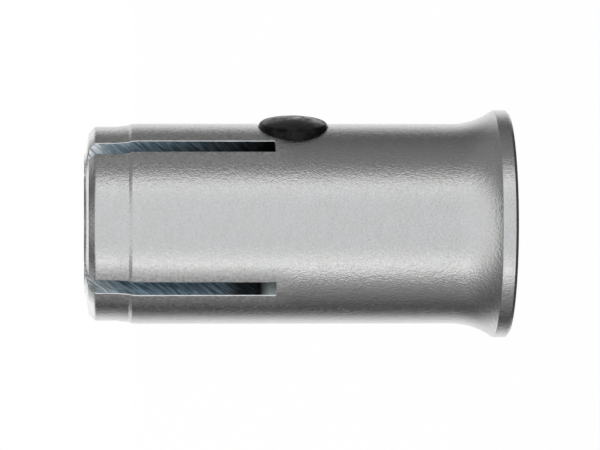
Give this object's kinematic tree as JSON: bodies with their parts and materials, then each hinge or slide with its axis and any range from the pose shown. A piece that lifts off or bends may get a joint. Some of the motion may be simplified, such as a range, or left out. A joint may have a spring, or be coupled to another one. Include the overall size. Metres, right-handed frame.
{
  "type": "drop-in anchor",
  "caption": "Lipped internally threaded steel drop-in anchor with slotted nose, inner expansion cone and plastic retaining nub, set by driving the cone in.",
  "frame": {"origin": "centre of the mouth's face, on the anchor's axis", "axes": "+Z along the anchor's axis from the mouth to the slotted nose; -Y is between two slots, and the retaining nub is 70.3 degrees from -Y towards +X"},
  "size_m": [0.0134, 0.0134, 0.025],
  "materials": {
    "zinc_steel": "zinc plated, satin, with bare bluish saw-cut slots",
    "cone_steel": "turned, bare",
    "black_plastic": "moulded, satin"
  },
  "bodies": {
    "anchor": {"sleeve": "zinc_steel", "retaining_nub": "black_plastic"},
    "cone": {"expansion_cone": "cone_steel"}
  },
  "joints": [
    {"name": "cone_slide", "type": "slide", "parent": "anchor", "child": "cone", "axis": [0, 0, 1], "range_m": [0, 0.002]}
  ]
}
